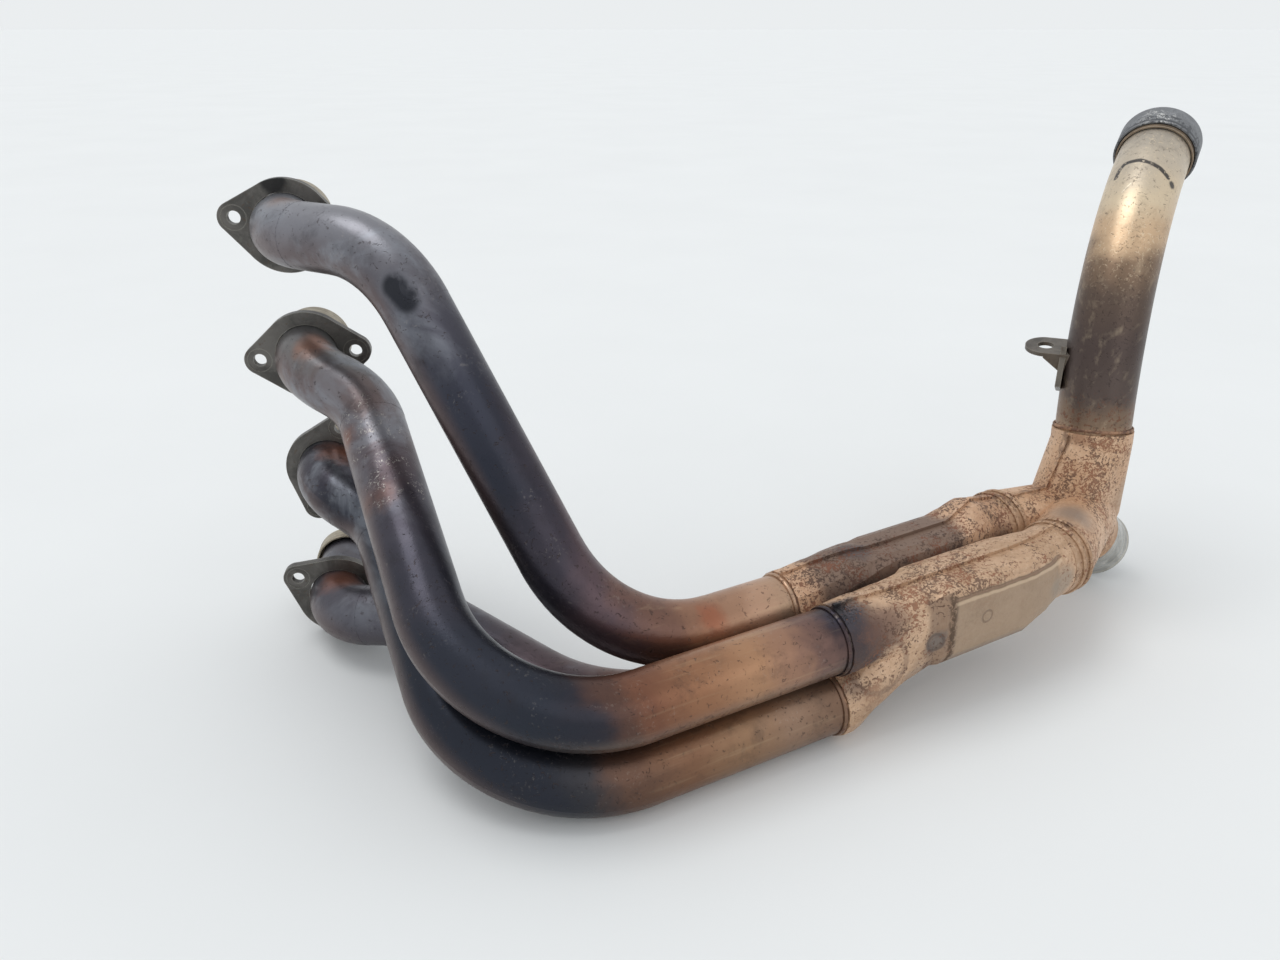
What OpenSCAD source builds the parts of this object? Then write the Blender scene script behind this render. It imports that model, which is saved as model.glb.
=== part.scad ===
// Motorcycle exhaust header for an in-line four, four pipes into two collectors into one junction.
// It lies on its side: the row of ports stands upright at the left and the runs lie along the floor.
// Lengths are millimetres. The run frame has x along the runs, y away from the viewer and z up.

/* [Primary pipes] */
// Outside diameter of the primary pipes
pipe_od = 42.7; // [38:0.1:44]
// Wall of the primary pipes
pipe_wall = 1.8; // [1.2:0.1:2.4]
// Distance between neighbouring ports
port_pitch = 90; // [90:0.5:100]
// Distance between two pipes that run side by side
run_pitch = 46; // [45:0.5:50]
// Distance between the inner and the outer row of runs
row_pitch = 50; // [49.5:0.5:56]
// Bend radius at the ports
port_bend = 44; // [36:1:46]
// Bend radius at the shoulders of the inner and the outer pair
shoulder_bend = [56, 78];
// Bend radius at the bottoms of the inner and the outer pair
bottom_bend = [94, 96];
// Straight length between port and first corner, pipe by pipe
port_straight = [66, 68, 60, 93];
// Depth of the dent in the first pipe
dent_depth = 1.2; // [0.2:0.1:1.4]

/* [Port flanges] */
// Distance between the two stud holes
stud_pitch = 66; // [62:0.5:70]
// Diameter of the stud holes
stud_hole = 8.8; // [6:0.1:11]
// Thickness of a flange
flange_t = 6; // [4:0.5:8]
// Radius of a flange round its bore
flange_r = 31; // [29:0.5:33]
// Radius of a flange ear
ear_r = 10.5; // [9:0.5:12]
// Clearance between flange and pipe, on the radius
flange_gap = 0.5; // [0.3:0.05:0.9]
// How far each flange has slid down its pipe
flange_slide = [44, 41, 31, 66];
// How far each flange has turned round its pipe
flange_turn = [-12.5, 2.5, 68, -32];
// Outside diameter of the sealing cups
cup_od = 50; // [48:0.5:53]
// Length of the sealing cups
cup_len = 16; // [12:0.5:20]

/* [Collectors] */
// Distance from the inner bottom corner to the mouth of the inner collector
inner_mouth = 235; // [225:1:245]
// Distance from the same corner to the mouth of the outer collector
outer_mouth = 232; // [222:1:240]
// Distance from the same corner to the ends of both collectors
collectors_end = 430; // [425:1:440]
// Distance from there to the inlets of the junction
neck_span = 15; // [12:0.5:18]
// Wall of the pressed shells
shell_wall = 2; // [1.4:0.1:2.6]
// Height of the pressed seams
seam_lip = 2.2; // [1:0.1:3.5]
// Radius of the collector outlets
neck_r = 26; // [24:0.5:26.5]
// How far a pipe reaches into its collector
pipe_reach = 6; // [5:0.5:6.5]

/* [Outlets] */
// Outside diameter of the two outlets
outlet_od = 54; // [50:0.5:56]
// Wall of the outlets
outlet_wall = 1.8; // [1.2:0.1:2.4]
// Bend radius of the upper outlet
outlet_bend = 235; // [225:1:236]
// Length of the short lower outlet
lower_len = 35; // [30:1:40]
// Length of the graphite gasket
gasket_len = 23; // [18:1:28]
// Thickness of the graphite gasket
gasket_t = 2.4; // [1.5:0.1:3]
// Hole in the hanger tab
hanger_hole = 11.8; // [8:0.1:14]

/* [Hidden] */
$fn = 64;

// Plan of the header, seen from above, with the inner bottom corner at 0, 0
port_row = [-146.7, 296.3];
port_dir = 97;
run_dir = 28.1;
row_mid = 150.4;
shoulder_plan = [[-93.6, 213.7], [-60.6, 184.2]];
shoulder_z = [283.6, 176.2, 85.3, 24.4];
outer_corner = 104;

// Which pair a pipe belongs to: the inner pair is 0, the outer pair is 1
pair = [1, 0, 0, 1];
pipe_r = pipe_od / 2;
pipe_bore_r = pipe_r - pipe_wall;
port_out = [cos(port_dir), sin(port_dir), 0];
eps = 0.01;

function unit(v) = v / norm(v);
function run_to_plan(p) = [
    p[0] * cos(run_dir) - p[1] * sin(run_dir),
    p[0] * sin(run_dir) + p[1] * cos(run_dir),
    p[2]
];
function run_z(k) = k < 2 ? run_pitch : 0;
function port_end(k) = [port_row[0], port_row[1], row_mid + (1.5 - k) * port_pitch];
function mouth_x(k) = pair[k] == 0 ? inner_mouth : outer_mouth;

// The corners of one pipe: port end, first corner, shoulder, bottom corner and collector end
function corners(k) = [
    port_end(k),
    port_end(k) - port_straight[k] * port_out,
    concat(shoulder_plan[pair[k]], [shoulder_z[k]]),
    run_to_plan([pair[k] * outer_corner, pair[k] * row_pitch, run_z(k)]),
    run_to_plan([mouth_x(k) + pipe_reach, pair[k] * row_pitch, run_z(k)])
];
function bends(k) = [0, port_bend, shoulder_bend[pair[k]], bottom_bend[pair[k]], 0];

// How far a corner's bend starts before the corner
function setback(p, r, i) =
    r[i] == 0 ? 0 : r[i] * sin(corner_angle(p, i)) / (1 + cos(corner_angle(p, i)));
function corner_angle(p, i) = acos(unit(p[i] - p[i - 1]) * unit(p[i + 1] - p[i]));

// Places children at p with their z axis along d and their x axis as level as it can be
module aim(p, d) {
    z = unit(d);
    side = abs(z[2]) > 0.99 ? [1, 0, 0] : unit(cross([0, 0, 1], z));
    y = cross(z, side);
    x = cross(y, z);
    multmatrix([[x[0], y[0], z[0], p[0]], [x[1], y[1], z[1], p[1]], [x[2], y[2], z[2], p[2]]])
        children();
}

// A solid rod of radius rod_r through the corners p, rounded by the bend radii r. The bends are a hair
// fuller than the straights, which reach a little way into them.
lap = 0.5;
bend_swell = 0.1;
module rod(p, r, rod_r) {
    last = len(p) - 1;
    for (i = [0 : last - 1]) {
        d = unit(p[i + 1] - p[i]);
        from = p[i] + d * (i == 0 ? 0 : setback(p, r, i) - lap);
        to = p[i + 1] - d * (i + 1 == last ? 0 : setback(p, r, i + 1) - lap);
        aim(from, d) cylinder(r = rod_r, h = norm(to - from));
    }
    for (i = [1 : last - 1]) {
        a = unit(p[i] - p[i - 1]);
        b = unit(p[i + 1] - p[i]);
        out = unit(a * (a * b) - b);
        start = p[i] - a * setback(p, r, i);
        c = start - out * r[i];
        up = cross(out, a);
        multmatrix([[out[0], a[0], up[0], c[0]], [out[1], a[1], up[1], c[1]], [out[2], a[2], up[2], c[2]]])
            rotate_extrude(angle = corner_angle(p, i), $fn = 180)
                translate([r[i], 0]) circle(rod_r + bend_swell);
    }
}

// The corners with both ends drawn out a little, for the bore of a tube
function drawn_out(p) = [
    for (i = [0 : len(p) - 1])
        i == 0 ? p[0] - unit(p[1] - p[0])
        : i == len(p) - 1 ? p[i] + unit(p[i] - p[i - 1])
        : p[i]
];

module tube(p, r, outer_r, bore_r) {
    difference() {
        rod(p, r, outer_r);
        rod(drawn_out(p), r, bore_r);
    }
}

module straight_tube(from, course, outer_r, bore_r, length) {
    aim(from, course) difference() {
        cylinder(r = outer_r, h = length);
        translate([0, 0, -1]) cylinder(r = bore_r, h = length + 2);
    }
}

// A weld bead round a tube of radius r, from z = -size to z = 0
module bead(r, size) {
    rotate_extrude() intersection() {
        translate([r - 0.6, -size / 2]) circle(size / 2 + 0.6, $fn = 32);
        translate([r - 0.4, -size]) square([size, size]);
    }
}

// The straight port end of a pipe is a piece of its own, which stops just before the first bend
stub_short = 0.8;
function stub_len(k) = port_straight[k] - setback(corners(k), bends(k), 1) - stub_short;
module port_stub(k) {
    straight_tube(port_end(k), -port_out, pipe_r, pipe_bore_r, stub_len(k));
}

module primary_pipe(k) {
    p = [
        port_end(k) - stub_len(k) * port_out,
        for (i = [1 : 4]) corners(k)[i]
    ];
    run = unit(p[4] - p[3]);
    difference() {
        union() {
            rod(p, bends(k), pipe_r);
            aim(p[4] - run * pipe_reach, run) bead(pipe_r, 3.2);
        }
        rod(drawn_out(p), bends(k), pipe_bore_r);
        if (k == 0) dent(p);
    }
}

// The dent on the outer side of the first pipe's shoulder
module dent(p) {
    leg = unit(p[3] - p[2]);
    at = p[2] + leg * 31;
    ball_r = 30;
    facing = unit([0.05, -0.75, 0.66]);
    out = unit(facing - leg * (facing * leg));
    translate(at + out * (pipe_r + ball_r - dent_depth)) sphere(ball_r);
}

module port_collar(k) {
    lip = 1.5;
    aim(port_end(k), port_out) rotate_extrude() polygon([
        [pipe_r, 0], [cup_od / 2 - 1.8, 0], [cup_od / 2, -2.6], [cup_od / 2, -cup_len + 0.8],
        [cup_od / 2 - 0.6, -cup_len], [cup_od / 2 - lip, -cup_len], [cup_od / 2 - lip, -8], [pipe_r, -6.5]
    ]);
}

// The webs of a flange lie this far inside the line that touches its round parts
web_inset = 0.08;
module flange_plan() {
    reach = stud_pitch / 2;
    lean = acos((flange_r - ear_r) / reach);
    web_r = flange_r - web_inset;
    tip_r = ear_r - web_inset;
    circle(flange_r, $fn = 96);
    for (side = [0, 180]) rotate(side) {
        translate([reach, 0]) circle(ear_r, $fn = 48);
        polygon([
            [web_r * cos(lean), web_r * sin(lean)],
            [0, 0],
            [web_r * cos(lean), -web_r * sin(lean)],
            [reach + tip_r * cos(lean), -tip_r * sin(lean)],
            [reach + tip_r * cos(lean), tip_r * sin(lean)]
        ]);
    }
}

module port_flange(k) {
    spot_r = stud_hole / 2 + 3.8;
    aim(port_end(k) - port_out * flange_slide[k], port_out) rotate(-flange_turn[k]) difference() {
        linear_extrude(flange_t) flange_plan();
        translate([0, 0, -1]) cylinder(r = pipe_r + flange_gap, h = flange_t + 2);
        for (side = [-1, 1]) translate([side * stud_pitch / 2, 0, 0]) {
            translate([0, 0, -1]) cylinder(d = stud_hole, h = flange_t + 2, $fn = 32);
            translate([0, 0, -1]) cylinder(r = spot_r, h = 1.5, $fn = 32);
        }
    }
}

// Stations of a collector: distance from the mouth, then the section's middle (y, z), its half width
// and half height, its squareness, and how far it has turned from two lobes into one box. The last ones
// are set back from the collector's end, so that its box takes up a change of its length.
inner_len = collectors_end - inner_mouth;
outer_len = collectors_end - outer_mouth;
mouth_fit = 0.55;
lobe_r = pipe_r + shell_wall + mouth_fit;
inner_keys = [
    [0, 0, run_pitch / 2, lobe_r, lobe_r * 2, 2.4, 0],
    [7, 0, run_pitch / 2, lobe_r, lobe_r * 2, 2.4, 0],
    [26, -0.4, 29.5, lobe_r - 0.4, 37.5, 2.6, 0.6],
    [48, -0.7, 36.5, 22.9, 33.5, 3.2, 1],
    [66, -0.8, 41, 23, 29.5, 4, 1],
    [72, -0.8, 42, 25, 28.6, 5.2, 1],
    [inner_len - 47, -0.8, 43, 25, 28.4, 5.2, 1],
    [inner_len - 33, 0.2, 44.2, 25, 27.4, 3.4, 1],
    [inner_len - 13, 3.2, 45.7, 25.6, 26.2, 2, 1],
    [inner_len, 5, 46, neck_r, neck_r, 2, 1]
];
outer_keys = [
    [0, 0, run_pitch / 2, lobe_r, lobe_r * 2, 2.4, 0],
    [7, 0, run_pitch / 2, lobe_r, lobe_r * 2, 2.4, 0],
    [30, 0.3, 27, lobe_r, 41, 2.8, 0.4],
    [52, 0.5, 33, 24, 37, 3.4, 0.8],
    [70, 0.6, 39, 24, 31, 4.2, 1],
    [80, 0.6, 41, 24, 29, 5, 1],
    [outer_len - 56, 0.6, 41.5, 24, 29.5, 5, 1],
    [outer_len - 44, 2, 43.5, 24.2, 32.5, 3.4, 1],
    [outer_len - 28, 7, 46, 25.4, 33, 2.3, 1],
    [outer_len - 12, 11.4, 46, 26, 28, 2, 1],
    [outer_len, 12, 46, neck_r, neck_r, 2, 1]
];
steps_between = 3;
arc_steps = 14;

// The stations between two of these are blended, half evenly and half with a soft start and end
function ease(u) = u * u * (3 - 2 * u);
function stations(keys) = [
    for (i = [0 : len(keys) - 2]) for (j = [0 : steps_between - 1])
        let (u = j / steps_between)
            [for (c = [0 : 6]) keys[i][c] + (keys[i + 1][c] - keys[i][c]) * (c == 0 ? u : (u + ease(u)) / 2)],
    keys[len(keys) - 1]
];
function lobes(a, r, h) = h * abs(sin(a)) + sqrt(max(0, r * r - pow(h * cos(a), 2)));
function boxed(a, hw, hh, n) = pow(pow(abs(cos(a)) / hw, n) + pow(abs(sin(a)) / hh, n), -1 / n);
function section_r(s, a, inset) = let (
    two = lobes(a, s[3] - inset, run_pitch / 2),
    one = boxed(a, s[3] - inset, s[4] - inset, s[5])
) two * (1 - s[6]) + one * s[6];

// One ring of a half shell: the outer skin with its two lips, then the inner skin back again
function half_ring(s, side) = let (
    wall = shell_wall,
    top = section_r(s, 90, 0),
    inner_top = section_r(s, 90, wall),
    lip_w = 1.3,
    low_lip = seam_lip * max(0.05, min(1, (s[0] - 20) / 50))
) [
    [0, -inner_top], [0, -top - low_lip], [lip_w, -top - low_lip], [lip_w, -top + 0.1],
    for (i = [1 : arc_steps - 1]) let (a = -90 + 180 * i / arc_steps, r = section_r(s, a, 0))
        [r * cos(a), r * sin(a)],
    [lip_w, top - 0.1], [lip_w, top + seam_lip], [0, top + seam_lip], [0, inner_top],
    for (i = [arc_steps - 1 : -1 : 1]) let (
        a = -90 + 180 * i / arc_steps,
        r = max(1.2, section_r(s, a, wall))
    ) [r * cos(a), r * sin(a)]
];

// The end face of a ring of n points: its two lips and a strip between the outer and the inner skin
function end_cap(n) = let (
    outer = [for (i = [0 : arc_steps]) 3 + i],
    inner = [0, for (i = [1 : arc_steps - 1]) n - i, arc_steps + 6]
) [
    [0, 1, 2], [0, 2, 3],
    for (i = [0 : arc_steps - 1]) each [
        [outer[i], outer[i + 1], inner[i + 1]], [outer[i], inner[i + 1], inner[i]]
    ],
    [arc_steps + 3, arc_steps + 4, arc_steps + 5], [arc_steps + 3, arc_steps + 5, arc_steps + 6]
];

// A half shell lofted through its stations: side is 1 for the far half and -1 for the near half
module half_shell(keys, side) {
    st = stations(keys);
    rings = [for (s = st) [for (q = half_ring(s, side)) [s[0], s[1] + side * q[0], s[2] + q[1]]]];
    n = len(rings[0]);
    points = [for (ring = rings) for (q = ring) q];
    skin = [
        for (i = [0 : len(st) - 2]) for (j = [0 : n - 1])
            let (a = i * n + j, b = i * n + (j + 1) % n)
                each [[a, b + n, b], [a, a + n, b + n]]
    ];
    last = (len(st) - 1) * n;
    cap = end_cap(n);
    far_cap = [for (f = cap) [last + f[2], last + f[1], last + f[0]]];
    faces = concat(skin, cap, far_cap);
    polyhedron(points, side > 0 ? faces : [for (f = faces) [for (j = [len(f) - 1 : -1 : 0]) f[j]]]);
}

module in_run() {
    rotate(run_dir) children();
}

module collector(keys, mouth, row, side) {
    in_run() translate([mouth, row, 0]) half_shell(keys, side);
}

inner_end = [collectors_end, 5, 46];
inner_inlet = [collectors_end + neck_span, 7, 46];
outer_end = [collectors_end, row_pitch + 12, 46];
outer_inlet = [collectors_end + neck_span, row_pitch + 12.5, 46];

// A rolled sleeve between a collector and the junction, with a weld bead at each end
module neck(from, to) {
    d = to - from;
    span = norm(d);
    lead = 6;
    big = 4 * neck_r;
    in_run() difference() {
        aim(from, d) difference() {
            union() {
                translate([0, 0, -lead]) cylinder(r = neck_r, h = span + lead);
                translate([0, 0, 7.5]) bead(neck_r, 3.5);
                translate([0, 0, span]) bead(neck_r, 3.5);
            }
            translate([0, 0, -lead - 1]) cylinder(r = neck_r - shell_wall, h = span + lead + 2);
        }
        translate(from - [big, big / 2, big / 2]) cube(big);
    }
}

// The middle of the junction, and the way its lower outlet leaves
hub = [collectors_end + 94, 57, 40];
stub_dir = [cos(38) * cos(10), cos(38) * sin(10), -sin(38)];
stub_end = [hub[0] + 48.5, 73, -8.9];

// Corners of the upper outlet in the run frame
outlet_path = [[hub[0] + 1, 56, 88], [hub[0] + 7.6, 69.2, 228.8], [hub[0] + 150.4, 151.8, 300.1]];

// The foot of the upper outlet lies a little way into its bend; the junction holds it with a small clearance
foot_way = 12;
foot_reach = 8;
outlet_fit = 0.3;
mouth_lap = 1.5;
foot_turn = foot_way / outlet_bend * 180 / PI;
outlet_rise = unit(outlet_path[1] - outlet_path[0]);
outlet_run = unit(outlet_path[2] - outlet_path[1]);
bend_out = unit(outlet_rise * (outlet_rise * outlet_run) - outlet_run);
bend_foot = outlet_path[1] - outlet_rise * setback(outlet_path, [0, outlet_bend, 0], 1);
outlet_foot = bend_foot + outlet_bend * (bend_out * (cos(foot_turn) - 1) + outlet_rise * sin(foot_turn));
foot_dir = outlet_rise * cos(foot_turn) - bend_out * sin(foot_turn);

// The form of the junction: grow is 0 for the outer skin and -shell_wall for the hollow, whose ends reach out
module junction_form(grow) {
    r = neck_r + 0.5 + grow;
    mouth_r = outlet_od / 2 + outlet_fit + shell_wall + grow;
    open = grow < 0 ? 1 : 0;
    aim(outlet_foot, foot_dir) cylinder(r = mouth_r, h = foot_reach + open);
    hull() {
        aim(outlet_foot, foot_dir) cylinder(r = mouth_r, h = eps);
        translate([hub[0] - 21, hub[1] - 2, 52]) sphere(r);
        translate([hub[0] + 8, hub[1] + 2, 44]) sphere(r);
    }
    hull() {
        aim(inner_inlet, inner_inlet - inner_end) translate([0, 0, -open]) cylinder(r = r, h = eps);
        translate([hub[0] - 6, hub[1] - 6, hub[2]]) sphere(r);
    }
    hull() {
        aim(outer_inlet, outer_inlet - outer_end) translate([0, 0, -open]) cylinder(r = r, h = eps);
        translate([hub[0] - 6, hub[1], hub[2]]) sphere(r);
    }
    hull() {
        translate(hub) sphere(r);
        aim(stub_end - stub_dir * (lower_len + mouth_lap), stub_dir) cylinder(r = mouth_r, h = eps);
    }
    aim(stub_end - stub_dir * (lower_len + mouth_lap), stub_dir) cylinder(r = mouth_r, h = 2 * mouth_lap + open);
}

// side is 1 for the far half and -1 for the near half
module junction_half(side) {
    big = 300;
    in_run() intersection() {
        difference() {
            union() {
                junction_form(0, $fn = 32);
                intersection() {
                    junction_form(seam_lip * 0.7, $fn = 32);
                    translate([outer_inlet[0], hub[1] - 1.5, -big / 2]) cube([big, 3, big]);
                }
            }
            junction_form(-shell_wall, $fn = 32);
        }
        translate([hub[0] - big / 2, side > 0 ? hub[1] : hub[1] - big, -big / 2]) cube(big);
    }
}

// The straight end of the upper outlet is a piece of its own too
outlet_end_len = norm(outlet_path[2] - outlet_path[1]) - setback(outlet_path, [0, outlet_bend, 0], 1) - stub_short;
module upper_outlet_end() {
    in_run() straight_tube(outlet_path[2], -outlet_run, outlet_od / 2, outlet_od / 2 - outlet_wall, outlet_end_len);
}

module upper_outlet_pipe() {
    path = [outlet_path[0], outlet_path[1], outlet_path[2] - outlet_run * outlet_end_len];
    in_run() difference() {
        tube(path, [0, outlet_bend, 0], outlet_od / 2, outlet_od / 2 - outlet_wall);
        aim(outlet_foot, -foot_dir) cylinder(r = outlet_od, h = 40);
    }
}

module at_outlet_end() {
    in_run() aim(outlet_path[2], outlet_path[2] - outlet_path[1]) children();
}

sleeve_t = 1.2;
sleeve_gap = 0.8;
module outlet_sleeve() {
    r = outlet_od / 2;
    rim = r + sleeve_gap + sleeve_t;
    at_outlet_end() rotate_extrude() polygon([
        [r, 0], [rim, 0], [rim, -gasket_len - 3], [rim - sleeve_t, -gasket_len - 3], [rim - sleeve_t, -5], [r, -4]
    ]);
}

module outlet_gasket() {
    inner = outlet_od / 2 + sleeve_gap + sleeve_t;
    at_outlet_end() rotate_extrude() polygon([
        [inner, 1], [inner + gasket_t - 0.5, 1], [inner + gasket_t, 0.5], [inner + gasket_t, -gasket_len + 1],
        [inner + gasket_t - 0.3, -gasket_len + 0.5], [inner + 0.9, -gasket_len + 0.5], [inner, -gasket_len + 5]
    ]);
}

module lower_outlet_cup() {
    r = outlet_od / 2;
    in_run() aim(stub_end, stub_dir) rotate_extrude() polygon([
        [r - outlet_wall, 0], [r + 0.4, 0], [r + 0.9, -0.8], [r + 0.4, -2.2], [r, -3],
        [r, -lower_len], [r - outlet_wall, -lower_len]
    ]);
}

// Where the hanger bracket sits on the upper outlet: the tube's middle there, its course and the tab's way out
hanger_at = [hub[0] + 15.5, 69, 163];
hanger_course = [0.341, 0.248, 0.907];
hanger_way = 126;
hanger_tilt = 8;
module hanger_bracket() {
    t = 3;
    tab_r = 15;
    hole_x = 42;
    face = outlet_od / 2;
    in_run() difference() {
        union() {
            translate(hanger_at) rotate(hanger_way) rotate([-hanger_tilt, 0, 0]) {
                linear_extrude(t) difference() {
                    union() {
                        translate([hole_x, 0]) circle(tab_r, $fn = 48);
                        translate([14, -tab_r]) square([hole_x - 14, 2 * tab_r]);
                    }
                    translate([hole_x, 0]) circle(d = hanger_hole, $fn = 32);
                }
                translate([0, tab_r, 0]) rotate([90, 0, 0]) linear_extrude(t)
                    polygon([[14, t], [hole_x, t], [hole_x, -1], [face, -13], [14, -13]]);
            }
            aim(hanger_at, hanger_course) translate([face - 1, -12, -30]) cube([t + 1, 25, 31]);
        }
        rod(outlet_path, [0, outlet_bend, 0], face + 0.05);
    }
}

// How the header lies: turned a little so that it rests on a bend, a flange and the lower outlet
lay_roll = 1.43;
lay_shift = [-175.95, -242.6, 19.5];
module lie_down() {
    translate(lay_shift) rotate([0, -lay_roll, 0]) children();
}

module steel(tint) {
    color(tint) lie_down() children();
}

steel("dimgray") primary_pipe(0);  // primary_pipe_1
steel("dimgray") primary_pipe(1);  // primary_pipe_2
steel("dimgray") primary_pipe(2);  // primary_pipe_3
steel("dimgray") primary_pipe(3);  // primary_pipe_4
steel("dimgray") port_stub(0);  // port_stub_1
steel("dimgray") port_stub(1);  // port_stub_2
steel("dimgray") port_stub(2);  // port_stub_3
steel("dimgray") port_stub(3);  // port_stub_4
steel("tan") port_collar(0);  // port_collar_1
steel("tan") port_collar(1);  // port_collar_2
steel("tan") port_collar(2);  // port_collar_3
steel("tan") port_collar(3);  // port_collar_4
steel("darkslategray") port_flange(0);  // port_flange_1
steel("darkslategray") port_flange(1);  // port_flange_2
steel("darkslategray") port_flange(2);  // port_flange_3
steel("darkslategray") port_flange(3);  // port_flange_4
steel("burlywood") collector(inner_keys, inner_mouth, 0, -1);  // inner_collector_near
steel("burlywood") collector(inner_keys, inner_mouth, 0, 1);  // inner_collector_far
steel("rosybrown") collector(outer_keys, outer_mouth, row_pitch, -1);  // outer_collector_near
steel("rosybrown") collector(outer_keys, outer_mouth, row_pitch, 1);  // outer_collector_far
steel("peru") neck(inner_end, inner_inlet);  // inner_neck
steel("peru") neck(outer_end, outer_inlet);  // outer_neck
steel("burlywood") junction_half(-1);  // junction_near
steel("burlywood") junction_half(1);  // junction_far
steel("rosybrown") upper_outlet_pipe();
steel("rosybrown") upper_outlet_end();
steel("tan") outlet_sleeve();
steel("gray") outlet_gasket();
steel("lightgray") lower_outlet_cup();
steel("dimgray") hanger_bracket();
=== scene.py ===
"""Motorcycle exhaust header: camera, studio, burnt and rusted steel finishes, welds and small marks."""
import math

import bpy
from mathutils import Matrix, Vector


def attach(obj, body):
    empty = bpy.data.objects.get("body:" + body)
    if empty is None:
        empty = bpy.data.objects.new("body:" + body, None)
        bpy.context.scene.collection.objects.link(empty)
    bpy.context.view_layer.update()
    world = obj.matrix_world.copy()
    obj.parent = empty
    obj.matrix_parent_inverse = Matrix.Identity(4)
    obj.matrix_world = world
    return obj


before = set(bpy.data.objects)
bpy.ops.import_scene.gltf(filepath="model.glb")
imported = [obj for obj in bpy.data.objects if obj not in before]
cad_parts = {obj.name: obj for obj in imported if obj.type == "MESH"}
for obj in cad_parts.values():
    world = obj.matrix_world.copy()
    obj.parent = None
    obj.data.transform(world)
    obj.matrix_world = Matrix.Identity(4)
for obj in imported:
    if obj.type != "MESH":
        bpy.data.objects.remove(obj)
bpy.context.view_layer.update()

# The run frame in the row frame: x along the runs, y away from the viewer, z up. It is turned and tilted.
RUN_DIR = math.radians(28.1)
LAY_ROLL = math.radians(1.43)
LAY_SHIFT = Vector((-0.17595, -0.2426, 0.0195))
LAY = Matrix.Rotation(-LAY_ROLL, 3, "Y") @ Matrix.Rotation(RUN_DIR, 3, "Z")
ALONG = LAY @ Vector((1, 0, 0))
AWAY = LAY @ Vector((0, 1, 0))
UP = LAY @ Vector((0, 0, 1))

# Outside radius of the primary pipes and of the upper outlet
PIPE_R = 0.02135
OUTLET_R = 0.027


def run_point(x, y, z):
    """A point of the run frame, in millimetres, as a row-frame vector in metres."""
    return LAY @ (Vector((x, y, z)) / 1000) + LAY_SHIFT


def run_course(x, y, z):
    """A direction of the run frame as a row-frame unit vector."""
    return (LAY @ Vector((x, y, z))).normalized()


def tone(code):
    """A colour written as six hex digits, as the shader wants it."""
    out = []
    for i in (0, 2, 4):
        c = int(code[i : i + 2], 16) / 255
        out.append(c / 12.92 if c <= 0.04045 else ((c + 0.055) / 1.055) ** 2.4)
    return (*out, 1.0)


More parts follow.
